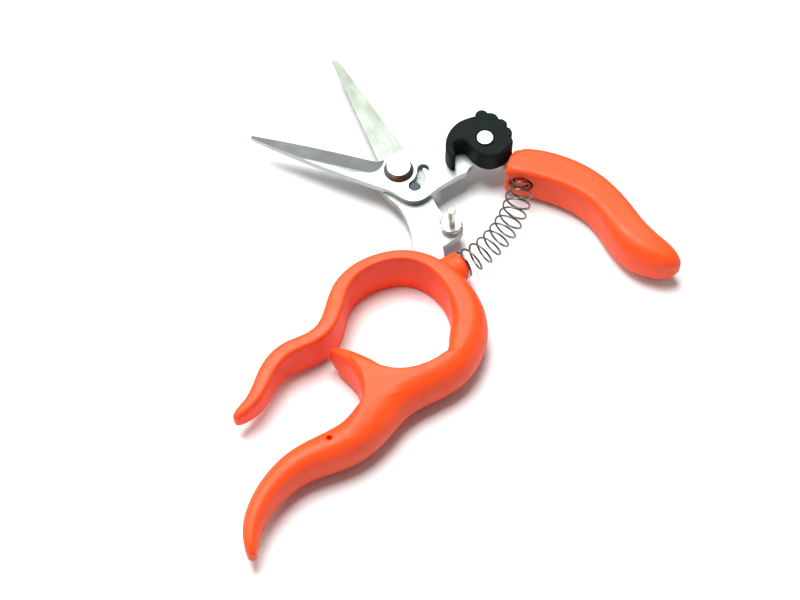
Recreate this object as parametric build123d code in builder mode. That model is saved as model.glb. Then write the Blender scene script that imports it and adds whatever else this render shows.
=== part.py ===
"""Spring-loaded floral snips with a finger ring, lying open on a flat surface.

Every outline is drawn about the pivot: X to the right, Y towards the blade tips, Z up.
The part frame has its origin under the middle of the whole tool, on the surface it lies on.
"""
from build123d import *
from math import atan2, cos, degrees, pi, radians, sin
import os

# ---------------------------------------------------------------- driving dimensions (mm, degrees)
PIVOT_X = -17.15  # pivot axis in the part frame
PIVOT_Y = 38.67

MID_HEIGHT = 8.0  # parting plane of both grips, and the face where the two plates meet
PLATE = 2.2  # thickness of each blade plate
PLATE_GAP = 0.05
LOWER_BOTTOM = MID_HEIGHT - PLATE
UPPER_BOTTOM = MID_HEIGHT + PLATE_GAP
UPPER_TOP = UPPER_BOTTOM + PLATE

EDGE_LAND = 0.7  # plate left at the cutting edge under the ground bevel
RUNNING_GAP = 0.05  # clearance of the pivot and of the latch

BOLT_SHANK = 2.4  # radii of the pivot bolt
BOLT_HEAD_BASE = 4.3
BOLT_HEAD_TOP = 3.5
BOLT_HEAD_HEIGHT = 2.3
BOLT_HEAD_ROUND = 0.5
BOLT_OVERHANG = 0.4  # bolt left standing beyond its nut
BOLT_LEAD = 0.3
NUT_ACROSS = 8.0
NUT_HEIGHT = 2.4
WASHER_THICK = 0.4
WASHER_RADIUS = 4.2

STOP_ANGLE = -49.5  # direction of the stop pin from the pivot
STOP_REACH = 7.0
STOP_PIN_RADIUS = 1.6
STOP_PIN_RECESS = 0.4
STOP_PIN_EDGE = 0.25
SLOT_HALF_WIDTH = 1.75
SLOT_TRAVEL = 51.5

POST = (14.7, -18.0)  # catch post, on the lower blade's lug
POST_RADIUS = 1.2
POST_TOP = 17.3
POST_SHOULDER = 2.5  # radius of the post inside the groove between its collars
POST_TAIL = 1.5  # radius of its end through the plate, then of its peened head
POST_PEENED = 2.2
POST_PEENED_THICK = 0.8
POST_ROUND = 0.35
POST_PEENED_EDGE = 0.25
COLLAR_LOWER_RADIUS = 3.3
COLLAR_UPPER_RADIUS = 3.0
COLLAR_LOWER_THICK = 0.9
COLLAR_LOWER_EDGE = 0.2
COLLAR_GROOVE = 0.35
COLLAR_UPPER_THICK = 0.95
COLLAR_UPPER_EDGE = 0.3
COLLAR_NOTCH = 3.75  # radius of the relief for the collars in the upper blade
NOTCH_RIGHT = 47.0  # directions along that relief from the closed post
NOTCH_MIDDLE = 105.0
NOTCH_LEFT = 166.0
CLOSING_ANGLE = 47.0
LUG_RADIUS = 3.6  # lower blade round the catch post
LUG_START = -52.0
LUG_MIDDLE = 24.0
LUG_END = 100.0

RIVET = (24.5, 6.2)  # latch rivet, on the upper blade
RIVET_SHANK = 1.5
RIVET_HEAD = 2.45
RIVET_HEAD_THICK = 0.8
RIVET_HEAD_ROUND = 0.35
LATCH_WASHER_THICK = 0.2
LATCH_WASHER_RADIUS = 3.2
LATCH_THICK = 6.9
LATCH_EDGE = 0.5
LATCH_SINK = 0.5  # depth of the recess around the rivet head
LATCH_SINK_RADIUS = 2.8

SPRING_REACH = 35.0  # the spring lies along an arc of this radius about the pivot
SPRING_START = -60.0  # directions of its two seats from the pivot
SPRING_END = 1.0
SPRING_RADIUS = 3.65  # to the middle of the wire
SPRING_NECK_RADIUS = 2.6  # the same in the closed-in turns at the thumb grip
NECK_TURNS = 1.7
NECK_TAPER = 1.0  # turns over which the spring opens out to its full radius
SPRING_WIRE = 0.28
SPRING_TURNS = 12
COIL_POINTS = 10  # path points per turn
COIL_SEAT = 0.7  # angle from a seat to the wire's end
BOSS_RADIUS = 4.3
BOSS_LENGTH = 6.5
LOWER_PEG_RADIUS = 2.6
LOWER_PEG_LENGTH = 1.6
UPPER_PEG_RADIUS = 2.0
UPPER_PEG_LENGTH = 3.9
RECESS_RADIUS = 3.25
RECESS_LENGTH = 8.0

CORD_HOLE = (-18.2, -86.6)  # small blind hole in the tail
CORD_HOLE_RADIUS = 0.8
CORD_HOLE_BOTTOM = 11.5
CORD_HOLE_CUT = 8.0  # length of the cut, up through the top of the tail

# Stations along each moulded stem: x, y, half width, half height, right corner, left corner
RING_STEM = [
    (-43.7, -78.6, 0.8, 2.2, 0.6, 0.6),
    (-42.6, -77.4, 1.4, 3.2, 0.9, 1.0),
    (-40.3, -75.2, 1.8, 4.0, 1.0, 1.3),
    (-38.0, -72.0, 2.1, 4.8, 0.9, 1.5),
    (-36.2, -67.8, 2.3, 5.5, 0.8, 1.6),
    (-33.9, -63.3, 2.4, 6.1, 0.8, 1.7),
    (-29.9, -59.4, 2.3, 6.6, 0.8, 1.7),
    (-24.6, -56.9, 2.2, 7.0, 0.8, 1.7),
    (-20.3, -53.6, 2.4, 7.5, 0.8, 1.8),
    (-17.8, -48.0, 2.6, 8.0, 0.8, 2.0),
    (-15.7, -40.8, 2.3, 8.1, 0.7, 1.7),
    (-11.9, -35.9, 1.9, 8.1, 0.6, 1.3),
    (-6.0, -32.5, 1.7, 8.1, 0.5, 1.1),
    (0.4, -31.1, 1.65, 8.1, 0.5, 1.1),
    (6.6, -32.2, 1.9, 8.1, 0.6, 1.3),
    (12.2, -35.8, 2.6, 8.1, 0.9, 1.9),
    (16.5, -41.2, 3.6, 8.1, 1.6, 3.0),
    (18.8, -46.6, 4.6, 8.1, 2.5, 4.3),
    (19.3, -52.0, 5.1, 8.1, 3.1, 5.4),
    (18.2, -57.2, 4.9, 8.1, 2.6, 5.7),
    (15.9, -63.0, 3.75, 8.1, 1.2, 6.0),
    (9.1, -67.8, 3.7, 8.1, 1.2, 5.9),
    (-0.6, -72.2, 5.3, 8.1, 2.2, 7.0),
    (-6.9, -79.4, 5.5, 7.8, 3.4, 6.6),
    (-12.7, -84.9, 5.2, 7.6, 4.6, 5.0),
    (-19.4, -88.4, 4.6, 7.3, 4.3, 4.3),
    (-26.3, -92.0, 4.0, 6.9, 3.8, 3.8),
    (-32.6, -98.2, 3.4, 6.4, 3.2, 3.2),
    (-36.2, -104.3, 2.9, 5.8, 2.7, 2.7),
    (-37.9, -110.0, 2.4, 5.2, 2.2, 2.2),
    (-38.0, -114.6, 1.8, 4.2, 1.6, 1.6),
    (-37.6, -117.6, 1.0, 2.6, 0.9, 0.9),
]
SPUR_STEM = [
    (-4.6, -75.2, 5.4, 7.9, 1.0, 3.2),
    (-6.0, -70.8, 4.4, 7.9, 1.0, 2.8),
    (-8.0, -67.0, 3.5, 7.9, 1.0, 2.4),
    (-11.1, -63.9, 2.3, 7.6, 0.9, 1.9),
    (-14.4, -61.4, 1.6, 6.7, 0.8, 1.3),
    (-16.8, -59.5, 1.1, 5.0, 0.7, 0.9),
    (-18.2, -58.2, 0.7, 3.2, 0.5, 0.5),
]
THUMB_STEM = [
    (31.3, 1.3, 4.1, 6.1, 1.2, 1.2),
    (34.0, 1.0, 4.3, 6.3, 1.2, 1.3),
    (38.2, 0.4, 4.7, 6.5, 1.2, 1.4),
    (43.2, -1.0, 4.9, 6.5, 1.2, 1.5),
    (48.3, -3.2, 4.9, 6.6, 1.3, 1.6),
    (53.4, -6.5, 4.8, 6.7, 1.5, 1.7),
    (57.9, -11.0, 4.7, 6.9, 1.9, 1.9),
    (61.3, -16.4, 4.9, 7.2, 2.6, 2.0),
    (64.4, -21.8, 5.2, 7.4, 3.6, 2.4),
    (68.1, -26.0, 5.2, 7.3, 4.3, 2.8),
    (72.1, -28.4, 4.5, 6.7, 4.0, 2.9),
    (75.6, -29.7, 3.3, 5.5, 2.9, 2.5),
    (77.5, -29.8, 2.0, 3.9, 1.8, 1.7),
    (78.4, -29.6, 0.8, 1.9, 0.7, 0.7),
]
THUMB_HEADING = -20.0  # the thumb grip's front face is square to this direction
CORNER_RISE = 1.4  # the stems' corners are this much taller than wide
LEAST_FLAT = 0.1  # half of the shortest straight left between two corners

# Web between the spur, the ring and the tail: along the ring, the finger bay, then inside the tail
WEB_RING_SIDE = [
    (14.4, -59.0), (11.8, -61.9), (9.1, -63.8), (6.1, -65.2), (3.0, -66.1), (0.4, -66.4), (-2.3, -66.1),
    (-5.0, -65.4), (-7.7, -64.5), (-10.3, -63.4), (-13.0, -62.1),
]
WEB_BAY_SIDE = [
    (-13.2, -62.7), (-10.9, -65.5), (-9.7, -68.5), (-9.1, -72.2), (-9.5, -75.5), (-10.6, -78.3),
    (-12.4, -80.9),
]
WEB_TAIL_SIDE = [(-12.9, -84.6), (-8.0, -78.4), (-2.0, -70.5), (7.9, -65.8), (14.2, -61.3)]

# Scalloped thumb edge of the latch, as reach and direction from the rivet
SCALLOP_VALLEYS = [(8.2, 109), (8.9, 84), (7.9, 59), (7.5, 33), (7.3, 5), (7.8, -18)]
SCALLOP_PEAKS = [(9.9, 96), (9.0, 71), (8.5, 45), (8.1, 18), (8.0, -8)]

# Ground bevels: heel and tip on the plate's face, and a point of the cutting edge
LOWER_BEVEL = ((-2.2, 6.6), (-12.4, 31.5), (-13.0, 22.6))
UPPER_BEVEL = ((-8.4, -1.0), (-28.3, 4.6), (-20.0, 7.4))
GRIND_LENGTH = 60.0  # extent of a bevel beyond its heel
GRIND_WIDTH = 9.0
HEEL_RUN = 3.0  # a bevel's heel curves back by this run over this rise
HEEL_RISE = 4.4
HEEL_BOW = (0.72, 0.35)  # shares of that run and rise at the middle of the curve

# Tangs inside the grips, from the side nearer the blade tips round to the other
LOWER_TANG = [
    (4.0, -28.9), (4.8, -30.9), (8.2, -32.2), (12.0, -35.3), (15.0, -40.0), (16.9, -46.0), (17.5, -52.0),
    (18.2, -57.0), (20.6, -52.0), (20.6, -46.0), (18.6, -40.0), (15.6, -35.0), (13.4, -31.0), (12.7, -27.0),
]
UPPER_TANG = [
    (33.0, 4.5), (40.0, 3.3), (46.0, 0.8), (51.0, -2.9), (54.4, -6.8), (50.6, -5.9), (45.6, -2.6),
    (41.4, 0.4), (36.5, 1.6), (31.6, 1.5),
]

# Hook of the latch, as reach and direction from the rivet
LATCH_BELLY = [
    (7.8, -18), (7.0, -40), (6.8, -60), (6.3, -83), (5.7, -104), (5.2, -125), (5.0, -145), (5.4, -166),
    (6.5, -174),
]
LATCH_MOUTH = [(6.5, -174), (7.75, -173), (8.7, -170), (9.3, -163), (9.6, -154), (10.0, -147)]
LATCH_TIP = (11.0, -144.5)
LATCH_BACK = [
    (11.6, -148.5), (11.7, -161), (11.3, -173), (10.7, 174), (10.0, 158), (9.3, 142), (8.6, 126),
    (8.2, 109),
]

# Outlines of the two plates between their straight parts
LOWER_HUB_LEFT = [
    (-5.8, 4.6), (-6.9, 0.3), (-5.6, -4.6), (-3.3, -7.6), (-0.6, -10.3), (2.0, -14.8), (3.5, -20.0),
    (4.0, -28.9),
]
LOWER_HUB_RIGHT = [(12.5, -13.3), (9.9, -8.4), (8.3, -3.0), (6.6, 2.6), (2.3, 7.6)]
UPPER_BACK = [
    (-6.4, 3.7), (-3.9, 4.8), (0.4, 5.9), (8.4, 4.5), (13.0, 5.1), (18.5, 8.4), (24.5, 10.6), (30.0, 8.8),
    (33.0, 4.5),
]
UPPER_HUB = [(14.6, -3.6), (9.8, -7.3), (6.6, -10.0), (3.4, -10.5), (-0.2, -8.6), (-4.6, -6.1)]

# Heights and places worked out from the above
HEAD_BOTTOM = UPPER_TOP + RUNNING_GAP
BOLT_END = LOWER_BOTTOM - WASHER_THICK - NUT_HEIGHT - BOLT_OVERHANG
GROOVE_BOTTOM = MID_HEIGHT + COLLAR_LOWER_THICK
LATCH_BOTTOM = UPPER_TOP + LATCH_WASHER_THICK + RUNNING_GAP
LATCH_TOP = LATCH_BOTTOM + LATCH_THICK
RIVET_HEAD_BOTTOM = LATCH_TOP - LATCH_SINK + RUNNING_GAP


# ---------------------------------------------------------------- helpers
def level(height):
    """Horizontal plane at a height, centred on the pivot."""
    return Plane(origin=(PIVOT_X, PIVOT_Y, height))


def polar(reach, direction, centre=(0, 0)):
    """Plan point at a distance and direction in degrees from a centre."""
    angle = radians(direction)
    return (centre[0] + reach * cos(angle), centre[1] + reach * sin(angle))


def upright_plane(point, heading):
    """Plane standing across a heading in degrees, centred on the parting plane."""
    angle = radians(heading)
    return Plane(
        origin=(PIVOT_X + point[0], PIVOT_Y + point[1], MID_HEIGHT),
        x_dir=(sin(angle), -cos(angle), 0),
        z_dir=(cos(angle), sin(angle), 0),
    )


def stem_heading(stations, index):
    """Direction of a stem at a station, from the stations on either side."""
    before = stations[max(index - 1, 0)]
    after = stations[min(index + 1, len(stations) - 1)]
    return degrees(atan2(after[1] - before[1], after[0] - before[0]))


def section_outline(half_width, half_height, right_corner, left_corner):
    """Section of a stem: a box whose right and left corners are rounded by quarter ellipses."""
    right_rise = min(CORNER_RISE * right_corner, half_height - LEAST_FLAT)
    left_rise = min(CORNER_RISE * left_corner, half_height - LEAST_FLAT)
    right_x = half_width - right_corner
    left_x = left_corner - half_width
    right_y = half_height - right_rise
    left_y = half_height - left_rise
    with BuildLine() as outline:
        Line((half_width, -right_y), (half_width, right_y))
        EllipticalCenterArc((right_x, right_y), right_corner, right_rise, 0)
        Line((right_x, half_height), (left_x, half_height))
        EllipticalCenterArc((left_x, left_y), left_corner, left_rise, 90)
        Line((-half_width, left_y), (-half_width, -left_y))
        EllipticalCenterArc((left_x, -left_y), left_corner, left_rise, 180)
        Line((left_x, -half_height), (right_x, -half_height))
        EllipticalCenterArc((right_x, -right_y), right_corner, right_rise, 270)
    return outline.edges()


def stem_sections(stations, first_heading=None):
    """Rounded sections of a moulded stem, ready to loft."""
    sections = []
    for index, (x, y, *size) in enumerate(stations):
        heading = stem_heading(stations, index)
        if index == 0 and first_heading is not None:
            heading = first_heading
        with BuildSketch(upright_plane((x, y), heading)) as section:
            make_face(section_outline(*size))
        sections.append(section.sketch)
    return sections


def ground_plane(heel, tip, edge, face_height, edge_height):
    """Plane of a ground bevel: along heel to tip on the face, falling to the cutting edge."""
    along = Vector(heel[0] - tip[0], heel[1] - tip[1], 0)
    fall = Vector(edge[0] - heel[0], edge[1] - heel[1], edge_height - face_height)
    origin = Vector(PIVOT_X + heel[0], PIVOT_Y + heel[1], face_height)
    return Plane(origin=origin, x_dir=along, z_dir=along.cross(fall))


def ground_area(plane):
    """Area of a ground bevel on its plane, from its rounded heel past the blade's tip."""
    bow = (HEEL_BOW[0] * HEEL_RUN, HEEL_BOW[1] * HEEL_RISE)
    with BuildSketch(plane) as area:
        with BuildLine():
            Polyline((0, 0), (-GRIND_LENGTH, 0), (-GRIND_LENGTH, GRIND_WIDTH), (HEEL_RUN, GRIND_WIDTH))
            Line((HEEL_RUN, GRIND_WIDTH), (HEEL_RUN, HEEL_RISE))
            ThreePointArc((HEEL_RUN, HEEL_RISE), bow, (0, 0))
        make_face()
    return area.sketch


# ---------------------------------------------------------------- blade outlines
def lower_outline():
    """Lower plate: blade, hub, catch lug and the tang inside the ring grip."""
    lug_start = polar(LUG_RADIUS, LUG_START, POST)
    lug_end = polar(LUG_RADIUS, LUG_END, POST)
    with BuildLine() as outline:
        Polyline((-17.5, 39.4), (-18.7, 40.4), (-19.8, 39.7), LOWER_HUB_LEFT[0])
        Spline(*LOWER_HUB_LEFT)
        Spline(*LOWER_TANG)
        Polyline(LOWER_TANG[-1], (12.4, -24.2), lug_start)
        ThreePointArc(lug_start, polar(LUG_RADIUS, LUG_MIDDLE, POST), lug_end)
        Spline(lug_end, *LOWER_HUB_RIGHT)
        Line(LOWER_HUB_RIGHT[-1], (-17.5, 39.4))
    return outline.edges()


def upper_outline():
    """Upper plate: blade, hub, latch seat and the tang inside the thumb grip."""
    closed_post = polar(*post_when_closed())
    notch_left = polar(COLLAR_NOTCH, NOTCH_LEFT, closed_post)
    notch_right = polar(COLLAR_NOTCH, NOTCH_RIGHT, closed_post)
    with BuildLine() as outline:
        Polyline((-42.2, 11.2), (-42.8, 11.9), (-42.4, 12.5))
        ThreePointArc((-42.4, 12.5), (-24.0, 8.5), UPPER_BACK[0])
        Spline(*UPPER_BACK)
        Spline(*UPPER_TANG)
        Line(UPPER_TANG[-1], notch_right)
        ThreePointArc(notch_right, polar(COLLAR_NOTCH, NOTCH_MIDDLE, closed_post), notch_left)
        Spline(notch_left, *UPPER_HUB)
        ThreePointArc(UPPER_HUB[-1], (-22.5, 1.5), (-42.2, 11.2))
    return outline.edges()


def slot_outline():
    """Curved stop slot about the pivot, with round ends."""
    stop_start = polar(STOP_REACH, STOP_ANGLE)
    slot_end_angle = STOP_ANGLE + SLOT_TRAVEL
    with BuildLine() as outline:
        CenterArc((0, 0), STOP_REACH + SLOT_HALF_WIDTH, STOP_ANGLE, SLOT_TRAVEL)
        CenterArc((0, 0), STOP_REACH - SLOT_HALF_WIDTH, STOP_ANGLE, SLOT_TRAVEL)
        CenterArc(stop_start, SLOT_HALF_WIDTH, STOP_ANGLE, -180)
        CenterArc(polar(STOP_REACH, slot_end_angle), SLOT_HALF_WIDTH, slot_end_angle, 180)
    return outline.edges()


def post_when_closed():
    """Reach and direction of the catch post in the upper blade's own frame when shut."""
    reach = Vector(*POST).length
    direction = degrees(atan2(POST[1], POST[0]))
    return reach, direction + CLOSING_ANGLE


def web_outline():
    """Flat web that joins the spur to the ring and the tail."""
    with BuildLine() as outline:
        Spline(*WEB_RING_SIDE)
        Line(WEB_RING_SIDE[-1], WEB_BAY_SIDE[0])
        Spline(*WEB_BAY_SIDE)
        Polyline(WEB_BAY_SIDE[-1], *WEB_TAIL_SIDE, WEB_RING_SIDE[0])
    return outline.edges()


# ---------------------------------------------------------------- plates
with BuildPart() as lower_blade:
    with BuildSketch(level(LOWER_BOTTOM)):
        make_face(lower_outline())
        Circle(BOLT_SHANK, mode=Mode.SUBTRACT)
        with Locations(polar(STOP_REACH, STOP_ANGLE)):
            Circle(STOP_PIN_RADIUS, mode=Mode.SUBTRACT)
        with Locations(POST):
            Circle(POST_TAIL, mode=Mode.SUBTRACT)
    extrude(amount=PLATE)
    lower_ground = ground_plane(*LOWER_BEVEL, LOWER_BOTTOM, MID_HEIGHT - EDGE_LAND)
    extrude(ground_area(lower_ground), amount=2 * PLATE, mode=Mode.SUBTRACT)

with BuildPart() as upper_blade:
    with BuildSketch(level(UPPER_BOTTOM)):
        make_face(upper_outline())
        Circle(BOLT_SHANK + RUNNING_GAP, mode=Mode.SUBTRACT)
        make_face(slot_outline(), mode=Mode.SUBTRACT)
        with Locations(RIVET):
            Circle(RIVET_SHANK, mode=Mode.SUBTRACT)
    extrude(amount=PLATE)
    upper_ground = ground_plane(*UPPER_BEVEL, UPPER_TOP, UPPER_BOTTOM + EDGE_LAND)
    extrude(ground_area(upper_ground), amount=2 * PLATE, mode=Mode.SUBTRACT)

# ---------------------------------------------------------------- pivot
with BuildPart() as pivot_bolt:
    with BuildSketch(level(BOLT_END)):
        Circle(BOLT_SHANK)
    extrude(amount=HEAD_BOTTOM - BOLT_END)
    with BuildSketch(level(HEAD_BOTTOM)):
        Circle(BOLT_HEAD_BASE)
    with BuildSketch(level(HEAD_BOTTOM + BOLT_HEAD_HEIGHT)):
        Circle(BOLT_HEAD_TOP)
    loft()
    fillet(pivot_bolt.edges().group_by(Axis.Z)[-1], BOLT_HEAD_ROUND)
    chamfer(pivot_bolt.edges().group_by(Axis.Z)[0], BOLT_LEAD)

with BuildPart() as pivot_washer:
    with BuildSketch(level(LOWER_BOTTOM - WASHER_THICK)):
        Circle(WASHER_RADIUS)
        Circle(BOLT_SHANK, mode=Mode.SUBTRACT)
    extrude(amount=WASHER_THICK)

with BuildPart() as pivot_nut:
    with BuildSketch(level(LOWER_BOTTOM - WASHER_THICK - NUT_HEIGHT)):
        RegularPolygon(NUT_ACROSS / 2, 6, major_radius=False)
        Circle(BOLT_SHANK, mode=Mode.SUBTRACT)
    extrude(amount=NUT_HEIGHT)

with BuildPart() as stop_pin:
    with BuildSketch(level(LOWER_BOTTOM)):
        with Locations(polar(STOP_REACH, STOP_ANGLE)):
            Circle(STOP_PIN_RADIUS)
    extrude(amount=UPPER_TOP - STOP_PIN_RECESS - LOWER_BOTTOM)
    chamfer(stop_pin.edges().group_by(Axis.Z)[-1], STOP_PIN_EDGE)

# ---------------------------------------------------------------- catch post and its collars
with BuildPart() as catch_post:
    for radius, bottom, top in (
        (POST_PEENED, LOWER_BOTTOM - POST_PEENED_THICK, LOWER_BOTTOM),
        (POST_TAIL, LOWER_BOTTOM, GROOVE_BOTTOM),
        (POST_SHOULDER, GROOVE_BOTTOM, GROOVE_BOTTOM + COLLAR_GROOVE),
        (POST_RADIUS, GROOVE_BOTTOM + COLLAR_GROOVE, POST_TOP),
    ):
        with BuildSketch(level(bottom)):
            with Locations(POST):
                Circle(radius)
        extrude(amount=top - bottom)
    fillet(catch_post.edges().group_by(Axis.Z)[-1], POST_ROUND)
    chamfer(catch_post.edges().group_by(Axis.Z)[0], POST_PEENED_EDGE)

with BuildPart() as post_collar_lower:
    with BuildSketch(level(MID_HEIGHT)):
        with Locations(POST):
            Circle(COLLAR_LOWER_RADIUS)
            Circle(POST_TAIL, mode=Mode.SUBTRACT)
    extrude(amount=COLLAR_LOWER_THICK)
    chamfer(post_collar_lower.edges().group_by(Axis.Z)[-1].sort_by(SortBy.RADIUS)[-1], COLLAR_LOWER_EDGE)

with BuildPart() as post_collar_upper:
    with BuildSketch(level(GROOVE_BOTTOM + COLLAR_GROOVE)):
        with Locations(POST):
            Circle(COLLAR_UPPER_RADIUS)
            Circle(POST_RADIUS, mode=Mode.SUBTRACT)
    extrude(amount=COLLAR_UPPER_THICK)
    chamfer(post_collar_upper.edges().group_by(Axis.Z)[-1].sort_by(SortBy.RADIUS)[-1], COLLAR_UPPER_EDGE)

# ---------------------------------------------------------------- latch
with BuildPart() as latch_washer:
    with BuildSketch(level(UPPER_TOP)):
        with Locations(RIVET):
            Circle(LATCH_WASHER_RADIUS)
            Circle(RIVET_SHANK, mode=Mode.SUBTRACT)
    extrude(amount=LATCH_WASHER_THICK)

with BuildPart() as latch_rivet:
    with BuildSketch(level(UPPER_BOTTOM)):
        with Locations(RIVET):
            Circle(RIVET_SHANK)
    extrude(amount=RIVET_HEAD_BOTTOM - UPPER_BOTTOM)
    with BuildSketch(level(RIVET_HEAD_BOTTOM)):
        with Locations(RIVET):
            Circle(RIVET_HEAD)
    extrude(amount=RIVET_HEAD_THICK)
    fillet(latch_rivet.edges().group_by(Axis.Z)[-1], RIVET_HEAD_ROUND)

with BuildPart() as latch_lever:
    with BuildSketch(level(LATCH_BOTTOM)):
        with BuildLine():
            for index, peak in enumerate(SCALLOP_PEAKS):
                ends = SCALLOP_VALLEYS[index], SCALLOP_VALLEYS[index + 1]
                ThreePointArc(polar(*ends[0], RIVET), polar(*peak, RIVET), polar(*ends[1], RIVET))
            Spline(*[polar(*point, RIVET) for point in LATCH_BELLY])
            Spline(*[polar(*point, RIVET) for point in LATCH_MOUTH])
            ThreePointArc(
                polar(*LATCH_MOUTH[-1], RIVET), polar(*LATCH_TIP, RIVET), polar(*LATCH_BACK[0], RIVET)
            )
            Spline(*[polar(*point, RIVET) for point in LATCH_BACK])
        make_face()
        with Locations(RIVET):
            Circle(RIVET_SHANK + RUNNING_GAP, mode=Mode.SUBTRACT)
    extrude(amount=LATCH_THICK)
    chamfer(latch_lever.faces().sort_by(Axis.Z)[-1].outer_wire().edges(), LATCH_EDGE)
    with BuildSketch(level(LATCH_TOP - LATCH_SINK)):
        with Locations(RIVET):
            Circle(LATCH_SINK_RADIUS)
    extrude(amount=LATCH_SINK, mode=Mode.SUBTRACT)

# ---------------------------------------------------------------- grips
SPRING_FOOT = polar(SPRING_REACH, SPRING_START)
SPRING_HEAD = polar(SPRING_REACH, SPRING_END)

with BuildPart() as ring_grip:
    loft(stem_sections(RING_STEM))
    split(bisect_by=Plane.XY, keep=Keep.TOP)
    split(bisect_by=Plane.XY.offset(2 * MID_HEIGHT), keep=Keep.BOTTOM)
    loft(stem_sections(SPUR_STEM))
    with BuildSketch(level(MID_HEIGHT)):
        make_face(web_outline())
    extrude(amount=MID_HEIGHT, both=True)
    with BuildSketch(upright_plane(SPRING_FOOT, SPRING_START + 90)):
        Circle(BOSS_RADIUS)
    extrude(amount=-BOSS_LENGTH)
    with BuildSketch(upright_plane(SPRING_FOOT, SPRING_START + 90)):
        Circle(LOWER_PEG_RADIUS)
    extrude(amount=LOWER_PEG_LENGTH)
    with BuildSketch(level(LOWER_BOTTOM)):
        make_face(lower_outline())
    extrude(amount=PLATE, mode=Mode.SUBTRACT)
    with BuildSketch(level(CORD_HOLE_BOTTOM)):
        with Locations(CORD_HOLE):
            Circle(CORD_HOLE_RADIUS)
    extrude(amount=CORD_HOLE_CUT, mode=Mode.SUBTRACT)

with BuildPart() as thumb_grip:
    loft(stem_sections(THUMB_STEM, THUMB_HEADING))
    with BuildSketch(upright_plane(SPRING_HEAD, SPRING_END + 90)):
        Circle(RECESS_RADIUS)
    extrude(amount=-RECESS_LENGTH, mode=Mode.SUBTRACT)
    with BuildSketch(upright_plane(SPRING_HEAD, SPRING_END + 90)):
        Circle(UPPER_PEG_RADIUS)
    extrude(amount=-UPPER_PEG_LENGTH)
    with BuildSketch(level(UPPER_BOTTOM)):
        make_face(upper_outline())
    extrude(amount=PLATE, mode=Mode.SUBTRACT)

# ---------------------------------------------------------------- return spring
coil_points = []
coil_steps = SPRING_TURNS * COIL_POINTS
coil_span = SPRING_END - SPRING_START - 2 * COIL_SEAT
for step in range(coil_steps + 1):
    turn = 2 * pi * step / COIL_POINTS
    direction = SPRING_START + COIL_SEAT + coil_span * step / coil_steps
    opened = (SPRING_TURNS - step / COIL_POINTS - NECK_TURNS) / NECK_TAPER
    radius = SPRING_NECK_RADIUS + (SPRING_RADIUS - SPRING_NECK_RADIUS) * max(0, min(opened, 1))
    x, y = polar(SPRING_REACH + radius * cos(turn), direction)
    coil_points.append(Vector(PIVOT_X + x, PIVOT_Y + y, MID_HEIGHT - radius * sin(turn)))

with BuildPart() as coil_spring:
    with BuildLine() as coil_path:
        Spline(*coil_points)
    with BuildSketch(Plane(origin=coil_path.line @ 0, z_dir=coil_path.line % 0)):
        Circle(SPRING_WIRE)
    sweep()

# ---------------------------------------------------------------- output
NODES = {
    "lower_blade": lower_blade,
    "upper_blade": upper_blade,
    "pivot_bolt": pivot_bolt,
    "pivot_washer": pivot_washer,
    "pivot_nut": pivot_nut,
    "stop_pin": stop_pin,
    "catch_post": catch_post,
    "post_collar_lower": post_collar_lower,
    "post_collar_upper": post_collar_upper,
    "latch_washer": latch_washer,
    "latch_rivet": latch_rivet,
    "latch_lever": latch_lever,
    "ring_grip": ring_grip,
    "thumb_grip": thumb_grip,
    "coil_spring": coil_spring,
}

os.makedirs("parts", exist_ok=True)
for name, piece in NODES.items():
    piece.part.label = name
    export_step(piece.part, f"parts/{name}.step")
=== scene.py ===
"""Floral snips lying open on a pale floor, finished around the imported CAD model."""

import math

import bmesh
import bpy
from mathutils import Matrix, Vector, kdtree
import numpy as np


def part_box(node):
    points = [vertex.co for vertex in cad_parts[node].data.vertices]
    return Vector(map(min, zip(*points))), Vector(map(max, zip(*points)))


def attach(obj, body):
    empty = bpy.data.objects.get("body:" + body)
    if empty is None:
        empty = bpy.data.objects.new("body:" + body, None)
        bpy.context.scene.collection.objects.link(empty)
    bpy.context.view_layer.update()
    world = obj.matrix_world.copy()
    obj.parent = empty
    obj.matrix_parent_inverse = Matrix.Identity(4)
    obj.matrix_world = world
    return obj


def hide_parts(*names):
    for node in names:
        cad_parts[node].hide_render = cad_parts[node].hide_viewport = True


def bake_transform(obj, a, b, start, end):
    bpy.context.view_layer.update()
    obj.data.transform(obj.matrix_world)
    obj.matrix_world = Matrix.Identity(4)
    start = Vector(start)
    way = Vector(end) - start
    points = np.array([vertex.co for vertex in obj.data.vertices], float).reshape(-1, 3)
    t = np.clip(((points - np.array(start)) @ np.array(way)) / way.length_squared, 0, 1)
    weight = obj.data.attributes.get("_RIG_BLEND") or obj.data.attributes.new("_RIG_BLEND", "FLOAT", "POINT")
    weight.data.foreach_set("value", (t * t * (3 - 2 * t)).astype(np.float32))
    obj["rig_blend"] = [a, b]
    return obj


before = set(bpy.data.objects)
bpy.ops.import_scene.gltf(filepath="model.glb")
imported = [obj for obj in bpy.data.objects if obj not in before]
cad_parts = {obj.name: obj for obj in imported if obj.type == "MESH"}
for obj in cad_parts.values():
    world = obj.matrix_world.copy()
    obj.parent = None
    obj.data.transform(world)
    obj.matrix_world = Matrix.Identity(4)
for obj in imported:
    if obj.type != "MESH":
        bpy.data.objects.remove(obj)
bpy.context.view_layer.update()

bl_info = {
    "name": "Floral Snips",
    "version": (1, 0, 0),
    "blender": (4, 5, 0),
    "location": "3D View > Sidebar > Snips",
    "description": "Builds the moulded grips, ground blades, latch and spring of a pair of floral snips",
    "category": "Object",
}

MM = 0.001

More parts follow.
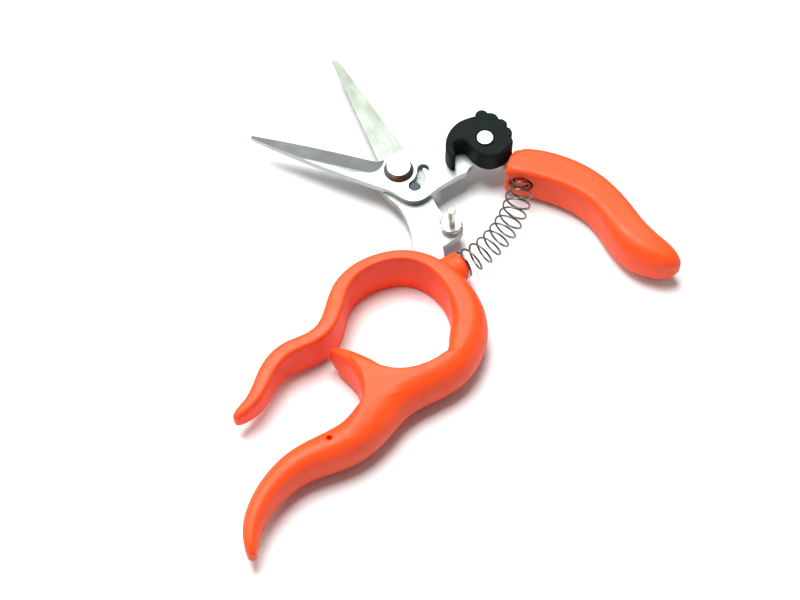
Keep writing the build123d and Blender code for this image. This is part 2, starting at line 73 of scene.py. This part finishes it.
# ---------------------------------------------------------------- places in the tool
NUT_LOW, NUT_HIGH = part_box("pivot_nut")
PIVOT = (NUT_LOW + NUT_HIGH) / 2
MID_HEIGHT = 8 * MM  # parting plane of the grips and of the two plates
BEVEL_HEEL = 8 * MM  # from the pivot to the heel of the upper blade's bevel
ROOT_LENGTH = 45 * MM  # lower blade inside and near its grip

# Places, from the pivot, where a moulding is softened more, and how far round them, in millimetres.
# A place that is listed twice is softened twice.
RING_JOINTS = [(-12.0, -82.5, 4.5), (13.6, -57.6, 4.0), (13.6, -57.6, 4.0)]
THUMB_JOINTS = [(33.0, 5.2, 2.6), (30.1, -2.7, 2.2)]

SPRING_REACH = 35 * MM  # from the pivot to the middle of the coil
SPRING_START = math.radians(-60)  # end of the coil at the ring grip, as an angle about the pivot
SPRING_END = math.radians(1)  # end of the coil at the thumb grip
CLOSED_TURNS = 1  # turns that touch each other, at each end
SPRING_STEPS = 32  # points in each turn

# ---------------------------------------------------------------- limits for the meshes
MERGE_DISTANCE = 0.002 * MM  # vertices nearer than this are one
SHORTEST_EDGE = 0.001 * MM
FLAT_ANGLE = math.radians(0.6)  # faces within this angle of each other are one
SHARP_ANGLE = math.radians(30)  # edges sharper than this are rounded
FLAT_TILT = 0.999  # vertical part of a flat's normal, at least
BEVEL_TILT = 0.3  # vertical part of a ground bevel's normal, at least

# ---------------------------------------------------------------- places on the stage, in metres
FLOOR_HALF = 3
SENSOR_WIDTH = 36  # millimetres
CLIP_START = 0.01
CLIP_END = 20
KEY_PLACE = (-0.15, 0.21, 0.93)
KEY_SIZE = 0.5
LEFT_PLACE = (-1.2, 0.1, 0.9)
LEFT_SIZE = 0.9
LEFT_SHARE = 0.4  # of the key light's power
SKY_COLOUR = (0.97, 0.985, 1.0)
SKY_EDGE = 0.6  # how far to the front and back the surroundings go on changing, as a direction's Y


# ---------------------------------------------------------------- sizes and colours a user would change
def colour_setting(name, description, default):
    """A colour setting with the usual limits."""
    return bpy.props.FloatVectorProperty(
        name=name, description=description, default=default, subtype="COLOR", size=3, min=0, max=1
    )


class GripSettings(bpy.types.PropertyGroup):
    colour: colour_setting("Grip colour", "Colour of the moulded grips", (0.86, 0.062, 0.005))
    fine_size: bpy.props.FloatProperty(
        name="Surface detail", description="Size of the cells the grips are smoothed on",
        default=0.38 * MM, min=0.2 * MM, max=2 * MM, unit="LENGTH",
    )
    softening: bpy.props.IntProperty(
        name="Softening", description="Smoothing passes over the whole moulding", default=4, min=0, max=60
    )
    joint_softening: bpy.props.IntProperty(
        name="Joint softening", description="Extra smoothing passes where two limbs of a grip meet",
        default=40, min=0, max=200,
    )


class SteelSettings(bpy.types.PropertyGroup):
    flat_colour: colour_setting("Flat colour", "Colour of the upper blade's flat", (0.35, 0.37, 0.355))
    face_colour: colour_setting("Face colour", "Colour of the lower blade near the grip", (0.28, 0.305, 0.29))
    worn_colour: colour_setting("Worn colour", "Colour of the lower blade near its tip", (0.22, 0.26, 0.20))
    # Painted reflection: the ground bevel's grey-green colour stands in for the darker surroundings it
    # reflects, and it fades to near black towards the tip.
    bevel_reflection_colour: colour_setting("Bevel colour", "Colour of the ground bevel at its heel", (0.27, 0.38, 0.33))
    bevel_tip_reflection_colour: colour_setting("Tip colour", "Colour of the ground bevel at the tip", (0.008, 0.03, 0.022))
    # Painted shade: the plate edges are rough sheared steel, and their dark colour also stands in for the
    # shade along them.
    edge_shade_colour: colour_setting("Plate edge colour", "Colour of the sheared plate edges", (0.09, 0.09, 0.08))
    edge_break: bpy.props.FloatProperty(
        name="Edge break", description="Width of the broken edges of the plates",
        default=0.1 * MM, min=0, max=0.5 * MM, unit="LENGTH",
    )


class SpringSettings(bpy.types.PropertyGroup):
    turns: bpy.props.IntProperty(
        name="Turns", description="Open turns of the spring", default=11, min=4, max=20
    )
    wire: bpy.props.FloatProperty(
        name="Wire radius", description="Radius of the spring wire", default=0.3 * MM,
        min=0.1 * MM, max=0.6 * MM, unit="LENGTH",
    )
    radius: bpy.props.FloatProperty(
        name="Coil radius", description="Radius to the middle of the wire", default=3.65 * MM,
        min=1 * MM, max=3.8 * MM, unit="LENGTH",
    )
    neck: bpy.props.FloatProperty(
        name="Neck radius", description="Radius to the middle of the wire in the turns at the thumb grip",
        default=2.6 * MM, min=1 * MM, max=3 * MM, unit="LENGTH",
    )
    neck_turns: bpy.props.FloatProperty(
        name="Neck turns", description="Turns held at the neck radius", default=2.3, min=0, max=5
    )


class LatchSettings(bpy.types.PropertyGroup):
    colour: colour_setting("Latch colour", "Colour of the latch", (0.004, 0.0085, 0.008))
    edge_round: bpy.props.FloatProperty(
        name="Edge rounding", description="Radius of the latch's moulded edges",
        default=0.35 * MM, min=0, max=1 * MM, unit="LENGTH",
    )


class StageSettings(bpy.types.PropertyGroup):
    elevation: bpy.props.FloatProperty(
        name="Camera elevation", description="Height of the camera above the horizon",
        default=math.radians(60.5), min=0, max=math.pi / 2, subtype="ANGLE", unit="ROTATION",
    )
    distance: bpy.props.FloatProperty(
        name="Camera distance", description="Distance from the camera to where it aims",
        default=0.552, min=0.1, max=5, unit="LENGTH",
    )
    focal: bpy.props.FloatProperty(
        name="Focal length", description="Focal length in millimetres", default=90, min=20, max=300
    )
    aim: bpy.props.FloatVectorProperty(
        name="Camera aim", description="Point the camera looks at",
        default=(-16.79 * MM, -2.7 * MM, 8 * MM), size=3, subtype="XYZ", unit="LENGTH",
    )
    key_power: bpy.props.FloatProperty(
        name="Key light", description="Power of the light nearly overhead",
        default=17, min=0, max=200, unit="POWER",
    )
    fill_back: bpy.props.FloatProperty(
        name="Surroundings behind", description="Brightness of the surroundings behind the tool",
        default=0.56, min=0, max=5,
    )
    fill_front: bpy.props.FloatProperty(
        name="Surroundings in front", description="Brightness of the surroundings in front of the tool",
        default=0.14, min=0, max=5,
    )


# ---------------------------------------------------------------- shader nodes
def new_material(name, colour, metallic, roughness):
    """A Principled material with its even values on the shader's own sockets."""
    material = bpy.data.materials.new(name)
    material.use_nodes = True
    shader = material.node_tree.nodes["Principled BSDF"]
    shader.inputs["Base Color"].default_value = (*colour, 1)
    shader.inputs["Metallic"].default_value = metallic
    shader.inputs["Roughness"].default_value = roughness
    return material, shader


def millimetres(tree, stretch=(1, 1, 1), turn=0):
    """Object coordinates in millimetres, turned about Z and then stretched."""
    coordinates = tree.nodes.new("ShaderNodeTexCoord")
    turned = tree.nodes.new("ShaderNodeMapping")
    turned.inputs["Rotation"].default_value = (0, 0, turn)
    scaled = tree.nodes.new("ShaderNodeMapping")
    scaled.inputs["Scale"].default_value = tuple(s / MM for s in stretch)
    tree.links.new(coordinates.outputs["Object"], turned.inputs["Vector"])
    tree.links.new(turned.outputs["Vector"], scaled.inputs["Vector"])
    return scaled.outputs["Vector"]


def axis_of(tree, coordinate, axis):
    """One axis of a texture coordinate."""
    coordinates = tree.nodes.new("ShaderNodeTexCoord")
    parts = tree.nodes.new("ShaderNodeSeparateXYZ")
    tree.links.new(coordinates.outputs[coordinate], parts.inputs["Vector"])
    return parts.outputs[axis]


def noise(tree, vector, scale, detail=4, roughness=0.55):
    """Noise from a vector in millimetres."""
    node = tree.nodes.new("ShaderNodeTexNoise")
    node.inputs["Scale"].default_value = scale
    node.inputs["Detail"].default_value = detail
    node.inputs["Roughness"].default_value = roughness
    tree.links.new(vector, node.inputs["Vector"])
    return node.outputs["Fac"]


def spread(tree, value, low, high, start=0.3, end=0.7):
    """A value moved from start..end to low..high."""
    node = tree.nodes.new("ShaderNodeMapRange")
    node.inputs["From Min"].default_value = start
    node.inputs["From Max"].default_value = end
    node.inputs["To Min"].default_value = low
    node.inputs["To Max"].default_value = high
    tree.links.new(value, node.inputs["Value"])
    return node.outputs["Result"]


def mixed(tree, share, first, second):
    """Two colours mixed by a share."""
    node = tree.nodes.new("ShaderNodeMix")
    node.data_type = "RGBA"
    tree.links.new(share, node.inputs["Factor"])
    for socket, colour in ((node.inputs["A"], first), (node.inputs["B"], second)):
        if isinstance(colour, bpy.types.NodeSocket):
            tree.links.new(colour, socket)
        else:
            socket.default_value = (*colour, 1)
    return node.outputs["Result"]


def bumped(tree, shader, height, strength, distance):
    """Adds a bump from a height in noise units."""
    node = tree.nodes.new("ShaderNodeBump")
    node.inputs["Strength"].default_value = strength
    node.inputs["Distance"].default_value = distance
    tree.links.new(height, node.inputs["Height"])
    tree.links.new(node.outputs["Normal"], shader.inputs["Normal"])


def shade(colour, factor):
    """A colour made lighter or darker."""
    return tuple(min(1, c * factor) for c in colour)


# ---------------------------------------------------------------- materials
def moulded_plastic(name, colour, roughness, gloss):
    """Satin injection-moulded plastic: slight colour drift and a fine skin texture."""
    material, shader = new_material(name, colour, 0, roughness)
    shader.inputs["Specular IOR Level"].default_value = gloss
    tree = material.node_tree
    vector = millimetres(tree)
    drift = spread(tree, noise(tree, vector, scale=0.06, detail=3), low=0, high=1)
    base = mixed(tree, drift, shade(colour, 0.93), shade(colour, 1.06))
    tree.links.new(base, shader.inputs["Base Color"])
    sheen = spread(tree, noise(tree, vector, scale=0.35), low=roughness - 0.05, high=roughness + 0.07)
    tree.links.new(sheen, shader.inputs["Roughness"])
    skin = noise(tree, vector, scale=3.2, detail=3, roughness=0.6)
    bumped(tree, shader, skin, strength=0.12, distance=0.05 * MM)
    return material


def ground_steel(name, colour, direction, roughness, contrast, line=2.4, mottle=0.0, fade=None):
    """Steel with fine grinding lines and faint patches; it can fade to a second colour along an axis."""
    material, shader = new_material(name, colour, 1, roughness)
    tree = material.node_tree
    across = millimetres(tree, (line, 0.12, 0.5), -direction)
    lines = noise(tree, across, scale=1.0, detail=5, roughness=0.7)
    patches = noise(tree, millimetres(tree), scale=0.16, roughness=0.6)
    line_share = spread(tree, lines, low=0, high=1)
    base = mixed(tree, line_share, shade(colour, 1 - contrast), shade(colour, 1 + contrast))
    if fade:
        second, axis, start, end = fade
        other = mixed(tree, line_share, shade(second, 1 - contrast), shade(second, 1 + contrast))
        base = mixed(tree, spread(tree, axis_of(tree, "Object", axis), 0, 1, start, end), base, other)
    if mottle:
        darker = tree.nodes.new("ShaderNodeHueSaturation")
        darker.inputs["Value"].default_value = 1 - mottle
        tree.links.new(base, darker.inputs["Color"])
        blotches = spread(tree, patches, low=0, high=1, start=0.42, end=0.62)
        base = mixed(tree, blotches, base, darker.outputs["Color"])
    tree.links.new(base, shader.inputs["Base Color"])
    sheen = spread(tree, patches, low=roughness - 0.06, high=roughness + 0.08)
    tree.links.new(sheen, shader.inputs["Roughness"])
    bumped(tree, shader, lines, strength=0.18, distance=0.02 * MM)
    return material


def turned_steel(name, colour, roughness, painted_side_shade=None):
    """Fastener or wire steel with faint patches and handling marks; its sides can take a darker colour of
    painted shade.
    """
    material, shader = new_material(name, colour, 1, roughness)
    tree = material.node_tree
    patches = noise(tree, millimetres(tree), scale=0.5)
    base = mixed(tree, spread(tree, patches, low=0, high=1), shade(colour, 0.93), shade(colour, 1.04))
    # Painted shade: faces that tilt away from straight up blend into the darker side colour.
    if painted_side_shade:
        upward = spread(tree, axis_of(tree, "Normal", "Z"), low=0, high=1, start=0.5, end=0.9)
        base = mixed(tree, upward, painted_side_shade, base)
    tree.links.new(base, shader.inputs["Base Color"])
    sheen = spread(tree, patches, low=roughness - 0.03, high=roughness + 0.06)
    tree.links.new(sheen, shader.inputs["Roughness"])
    marks = noise(tree, millimetres(tree), scale=6, detail=2)
    bumped(tree, shader, marks, strength=0.03, distance=0.01 * MM)
    return material


# ---------------------------------------------------------------- meshes
def add_object(name, data):
    """A new object in the scene."""
    piece = bpy.data.objects.new(name, data)
    bpy.context.scene.collection.objects.link(piece)
    return piece


def merged_copy(node, name):
    """A copy of a CAD node's mesh with its loose triangles merged."""
    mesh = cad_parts[node].data.copy()
    mesh.name = name
    mesh.materials.clear()
    if mesh.has_custom_normals:
        mesh.attributes.remove(mesh.attributes["custom_normal"])
    shape = bmesh.new()
    shape.from_mesh(mesh)
    bmesh.ops.remove_doubles(shape, verts=shape.verts, dist=MERGE_DISTANCE)
    bmesh.ops.dissolve_degenerate(shape, dist=SHORTEST_EDGE, edges=shape.edges)
    return mesh, shape


def write_mesh(mesh, shape):
    """Puts a bmesh into its mesh, with smooth faces."""
    for face in shape.faces:
        face.smooth = True
    shape.to_mesh(mesh)
    shape.free()
    mesh.update()
    return mesh


def join_flat_faces(shape):
    """Joins the triangles of each flat face."""
    bmesh.ops.dissolve_limit(
        shape, angle_limit=FLAT_ANGLE, use_dissolve_boundaries=False, verts=shape.verts,
        edges=shape.edges, delimit=set(),
    )


def smooth(shape, vertices, passes):
    """Evens out vertices with their neighbours."""
    for _ in range(passes):
        bmesh.ops.smooth_vert(
            shape, verts=vertices, factor=0.5, use_axis_x=True, use_axis_y=True, use_axis_z=True
        )


def round_edges(piece, name, width, segments):
    """Rounds a piece's sharp edges."""
    rim = piece.modifiers.new(name, "BEVEL")
    rim.width = width
    rim.segments = segments
    rim.limit_method = "ANGLE"
    rim.angle_limit = SHARP_ANGLE
    rim.harden_normals = True


def apply_modifiers(piece):
    """Replaces a piece's mesh with what its modifiers give."""
    graph = bpy.context.evaluated_depsgraph_get()
    made = bpy.data.meshes.new_from_object(piece.evaluated_get(graph))
    piece.modifiers.clear()
    old = piece.data
    piece.data = made
    made.name = old.name
    bpy.data.meshes.remove(old)
    return made


def finish_piece(piece, body, slot, nodes, *materials):
    """Gives a piece its materials and its place in the tool."""
    piece.data.materials.clear()
    for material in materials:
        piece.data.materials.append(material)
    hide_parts(*nodes)
    if body:
        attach(piece, body)


def dress_node(node, material):
    """Puts a material on a CAD node."""
    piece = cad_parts[node]
    if not piece.material_slots:
        piece.data.materials.append(material)
    for slot in piece.material_slots:
        slot.link = "OBJECT"
        slot.material = material


def moulding(node, name, settings, joints):
    """A grip as one softened moulding: a copy on an even grid, smoothed, and more so near its joints."""
    mesh, shape = merged_copy(node, name)
    piece = add_object(name, write_mesh(mesh, shape))
    grid = piece.modifiers.new("Even grid", "REMESH")
    grid.mode = "VOXEL"
    grid.voxel_size = settings.fine_size
    grid.use_smooth_shade = True
    mesh = apply_modifiers(piece)
    shape = bmesh.new()
    shape.from_mesh(mesh)
    smooth(shape, shape.verts, settings.softening)
    for x, y, reach in joints:
        place = PIVOT.xy + Vector((x, y)) * MM
        near = [v for v in shape.verts if (v.co.xy - place).length < reach * MM]
        smooth(shape, near, settings.joint_softening)
    write_mesh(mesh, shape)
    return piece


def plate(node, name, width):
    """A blade plate with its edges broken, its faces sorted into flats, ground bevel and sheared edge; the
    sheared edge's dark colour is partly painted shade.
    """
    mesh, shape = merged_copy(node, name)
    join_flat_faces(shape)
    for face in shape.faces:
        tilt = abs(face.normal.z)
        face.material_index = 0 if tilt > FLAT_TILT else 1 if tilt > BEVEL_TILT else 2
    piece = add_object(name, write_mesh(mesh, shape))
    round_edges(piece, "Broken edges", width, segments=2)
    return piece


# ---------------------------------------------------------------- spring
def helix(turns):
    """Centreline of a straight coil along Z, one unit in radius and one unit to a turn."""
    shape = bmesh.new()
    start = shape.verts.new((1, 0, 0))
    bmesh.ops.spin(
        shape, geom=[start], cent=(0, 0, 0), axis=(0, 0, 1), dvec=(0, 0, 1 / SPRING_STEPS),
        angle=2 * math.pi * turns, steps=turns * SPRING_STEPS, use_duplicate=False,
    )
    points = sorted((v.co.copy() for v in shape.verts), key=lambda co: co.z)
    shape.free()
    return points


def spring_line(settings):
    """Centreline of the wire about the pivot, and each point's share of the way between the grips."""
    turns = settings.turns + 2 * CLOSED_TURNS
    wire_angle = 2 * settings.wire / SPRING_REACH
    span = SPRING_END - SPRING_START
    start = SPRING_START + settings.wire / SPRING_REACH
    free = span - wire_angle - 2 * CLOSED_TURNS * wire_angle
    points, shares = [], []
    for co in helix(turns):
        turn = co.z
        angle = start + wire_angle * min(turn, CLOSED_TURNS)
        angle += free * max(0, min(turn - CLOSED_TURNS, settings.turns)) / settings.turns
        angle += wire_angle * max(0, turn - CLOSED_TURNS - settings.turns)
        opened = max(0, min(turns - turn - settings.neck_turns, 1))
        radius = settings.neck + (settings.radius - settings.neck) * opened
        reach = SPRING_REACH + radius * co.x
        x = PIVOT.x + reach * math.cos(angle)
        y = PIVOT.y + reach * math.sin(angle)
        points.append(Vector((x, y, MID_HEIGHT - radius * co.y)))
        shares.append((angle - SPRING_START) / span)
    return points, shares


def wire_mesh(name, points, radius):
    """A round wire along a line of points."""
    curve = bpy.data.curves.new(name + "_line", "CURVE")
    curve.dimensions = "3D"
    curve.bevel_depth = radius
    curve.bevel_resolution = 3
    curve.use_fill_caps = True
    spline = curve.splines.new("POLY")
    spline.points.add(len(points) - 1)
    for point, co in zip(spline.points, points):
        point.co = (*co, 1)
    path = add_object(name + "_line", curve)
    graph = bpy.context.evaluated_depsgraph_get()
    mesh = bpy.data.meshes.new_from_object(path.evaluated_get(graph))
    mesh.name = name
    bpy.data.objects.remove(path)
    for face in mesh.polygons:
        face.use_smooth = True
    return mesh


def nearest_shares(mesh, points, shares):
    """For each vertex of the wire, the share of the nearest point of its centreline."""
    tree = kdtree.KDTree(len(points))
    for index, co in enumerate(points):
        tree.insert(co, index)
    tree.balance()
    return [shares[tree.find(v.co)[1]] for v in mesh.vertices]


# ---------------------------------------------------------------- stage
def add_floor():
    """A pale matt floor."""
    shape = bmesh.new()
    bmesh.ops.create_grid(shape, x_segments=1, y_segments=1, size=FLOOR_HALF)
    mesh = bpy.data.meshes.new("floor")
    shape.to_mesh(mesh)
    shape.free()
    floor = add_object("floor", mesh)
    material, shader = new_material("pale floor", (0.78, 0.79, 0.79), metallic=0, roughness=0.9)
    shader.inputs["Specular IOR Level"].default_value = 0.1
    mesh.materials.append(material)


def add_camera(settings, aim):
    """The camera, in front of the tool and looking down at it."""
    back = Vector((0, -math.cos(settings.elevation), math.sin(settings.elevation)))
    camera = add_object("camera", bpy.data.cameras.new("camera"))
    camera.data.lens = settings.focal
    camera.data.sensor_width = SENSOR_WIDTH
    camera.data.clip_start = CLIP_START
    camera.data.clip_end = CLIP_END
    camera.location = aim + back * settings.distance
    camera.rotation_euler = (math.pi / 2 - settings.elevation, 0, 0)
    bpy.context.scene.camera = camera


def area_light(name, place, aim, size, power):
    """A square area light aimed at the tool."""
    data = bpy.data.lights.new(name, "AREA")
    data.size = size
    data.energy = power
    light = add_object(name, data)
    light.location = place
    light.rotation_euler = (aim - Vector(place)).to_track_quat("-Z", "Y").to_euler()


def add_surroundings(settings):
    """Soft surroundings, brighter behind the tool than in front of it."""
    world = bpy.data.worlds.new("surroundings")
    world.use_nodes = True
    tree = world.node_tree
    sky = tree.nodes["Background"]
    sky.inputs["Color"].default_value = (*SKY_COLOUR, 1)
    backward = axis_of(tree, "Generated", "Y")
    strength = spread(tree, backward, settings.fill_front, settings.fill_back, -SKY_EDGE, SKY_EDGE)
    tree.links.new(strength, sky.inputs["Strength"])
    bpy.context.scene.world = world


# ---------------------------------------------------------------- operators
class SNIPS_OT_grips(bpy.types.Operator):
    """Mould the ring grip and the thumb grip in one soft-edged plastic"""

    bl_idname = "snips.grips"
    bl_label = "Moulded grips"

    def execute(self, context):
        settings = context.scene.snips_grips
        plastic = moulded_plastic("orange moulded plastic", settings.colour, roughness=0.52, gloss=0.32)
        ring = moulding("ring_grip", "ring_grip_moulding", settings, RING_JOINTS)
        finish_piece(ring, "ring_side", "grip_plastic", ["ring_grip"], plastic)
        thumb = moulding("thumb_grip", "thumb_grip_moulding", settings, THUMB_JOINTS)
        finish_piece(thumb, "thumb_side", "grip_plastic", ["thumb_grip"], plastic)
        return {"FINISHED"}


class SNIPS_OT_blades(bpy.types.Operator):
    """Grind the two blade plates"""

    bl_idname = "snips.blades"
    bl_label = "Ground blades"

    def execute(self, context):
        settings = context.scene.snips_steel
        upper_low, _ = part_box("upper_blade")
        lower_low, lower_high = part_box("lower_blade")
        # The sheared edge material carries painted shade as well as the rough sheared finish.
        edge = ground_steel(
            "sheared plate edge with painted shade", settings.edge_shade_colour, direction=0, roughness=0.5, contrast=0.2
        )
        # The ground bevel's colour is a painted dark reflection, fading to near black towards the tip.
        bevel = ground_steel(
            "ground bevel", settings.bevel_reflection_colour, math.radians(75), roughness=0.42, contrast=0.1,
            fade=(settings.bevel_tip_reflection_colour, "X", PIVOT.x - BEVEL_HEEL, upper_low.x),
        )
        flat = ground_steel(
            "satin blade flat", settings.flat_colour, math.radians(-15), roughness=0.4, contrast=0.05
        )
        face = ground_steel(
            "cross ground blade face", settings.face_colour, math.radians(30), roughness=0.46,
            contrast=0.18, line=1.6, mottle=0.14,
            fade=(settings.worn_colour, "Y", lower_low.y + ROOT_LENGTH, lower_high.y),
        )
        upper = plate("upper_blade", "upper_blade_plate", settings.edge_break)
        finish_piece(upper, "thumb_side", "blade_steel", ["upper_blade"], flat, bevel, edge)
        lower = plate("lower_blade", "lower_blade_plate", settings.edge_break)
        finish_piece(lower, "ring_side", "blade_steel", ["lower_blade"], face, bevel, edge)
        return {"FINISHED"}


class SNIPS_OT_fasteners(bpy.types.Operator):
    """Finish the pivot, stop pin, catch post, collars, rivet and washers"""

    bl_idname = "snips.fasteners"
    bl_label = "Fasteners"

    def execute(self, context):
        bright = turned_steel("bright fastener steel", (0.72, 0.72, 0.68), roughness=0.28)
        # The heads' sides get a dark brown painted shade.
        head = turned_steel(
            "turned head steel", (0.86, 0.86, 0.84), roughness=0.32, painted_side_shade=(0.22, 0.17, 0.145)
        )
        dull = turned_steel("dull pin steel", (0.05, 0.055, 0.058), roughness=0.5)
        finishes = [
            (bright, ("pivot_washer", "pivot_nut", "catch_post")),
            (bright, ("post_collar_lower", "post_collar_upper", "latch_washer")),
            (head, ("pivot_bolt", "latch_rivet")),
            (dull, ("stop_pin",)),
        ]
        for steel, nodes in finishes:
            for node in nodes:
                dress_node(node, steel)
        return {"FINISHED"}


class SNIPS_OT_latch(bpy.types.Operator):
    """Mould the hooked latch with its scalloped thumb edge"""

    bl_idname = "snips.latch"
    bl_label = "Latch"

    def execute(self, context):
        settings = context.scene.snips_latch
        plastic = moulded_plastic("charcoal moulded plastic", settings.colour, roughness=0.55, gloss=0.07)
        mesh, shape = merged_copy("latch_lever", "latch_moulding")
        join_flat_faces(shape)
        latch = add_object("latch_moulding", write_mesh(mesh, shape))
        round_edges(latch, "Moulded edges", settings.edge_round, segments=3)
        finish_piece(latch, "latch", "latch_plastic", ["latch_lever"], plastic)
        return {"FINISHED"}


class SNIPS_OT_spring(bpy.types.Operator):
    """Wind the return spring along its arc about the pivot"""

    bl_idname = "snips.spring"
    bl_label = "Return spring"

    def execute(self, context):
        settings = context.scene.snips_spring
        points, shares = spring_line(settings)
        mesh = wire_mesh("return_spring", points, settings.wire)
        spring = add_object("return_spring", mesh)
        wire = turned_steel("drawn spring wire", (0.15, 0.155, 0.14), roughness=0.28)
        finish_piece(spring, None, "spring_steel", ["coil_spring"], wire)
        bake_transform(spring, "ring_side", "thumb_side", start=points[0], end=points[-1])
        weights = nearest_shares(mesh, points, shares)
        mesh.attributes["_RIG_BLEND"].data.foreach_set("value", weights)
        return {"FINISHED"}


class SNIPS_OT_stage(bpy.types.Operator):
    """Set the pale floor, the soft studio light and the camera"""

    bl_idname = "snips.stage"
    bl_label = "Stage"

    def execute(self, context):
        settings = context.scene.snips_stage
        aim = Vector(settings.aim)
        add_floor()
        add_camera(settings, aim)
        area_light("key light", KEY_PLACE, aim, KEY_SIZE, settings.key_power)
        area_light("left light", LEFT_PLACE, aim, LEFT_SIZE, settings.key_power * LEFT_SHARE)
        add_surroundings(settings)
        context.scene.view_settings.view_transform = "Standard"
        return {"FINISHED"}


class SNIPS_PT_panel(bpy.types.Panel):
    """Everything that builds the snips"""

    bl_idname = "SNIPS_PT_panel"
    bl_label = "Floral snips"
    bl_space_type = "VIEW_3D"
    bl_region_type = "UI"
    bl_category = "Snips"

    def draw(self, context):
        for group, operator in GROUPS:
            box = self.layout.box()
            settings = getattr(context.scene, group, None)
            for name in getattr(settings, "__annotations__", {}):
                box.prop(settings, name)
            box.operator(operator.bl_idname)


SETTINGS = {
    "snips_grips": GripSettings,
    "snips_steel": SteelSettings,
    "snips_latch": LatchSettings,
    "snips_spring": SpringSettings,
    "snips_stage": StageSettings,
}
# Each operator with the name of its settings, where it has any
GROUPS = [
    ("snips_grips", SNIPS_OT_grips),
    ("snips_steel", SNIPS_OT_blades),
    ("", SNIPS_OT_fasteners),
    ("snips_latch", SNIPS_OT_latch),
    ("snips_spring", SNIPS_OT_spring),
    ("snips_stage", SNIPS_OT_stage),
]
CLASSES = [*SETTINGS.values(), *(operator for _, operator in GROUPS), SNIPS_PT_panel]


def register():
    for cls in CLASSES:
        bpy.utils.register_class(cls)
    for name, settings in SETTINGS.items():
        setattr(bpy.types.Scene, name, bpy.props.PointerProperty(type=settings))


def unregister():
    for name in SETTINGS:
        delattr(bpy.types.Scene, name)
    for cls in reversed(CLASSES):
        bpy.utils.unregister_class(cls)


def main():
    register()
    bpy.ops.snips.grips()
    bpy.ops.snips.blades()
    bpy.ops.snips.fasteners()
    bpy.ops.snips.latch()
    bpy.ops.snips.spring()
    bpy.ops.snips.stage()


if __name__ == "__main__":
    main()
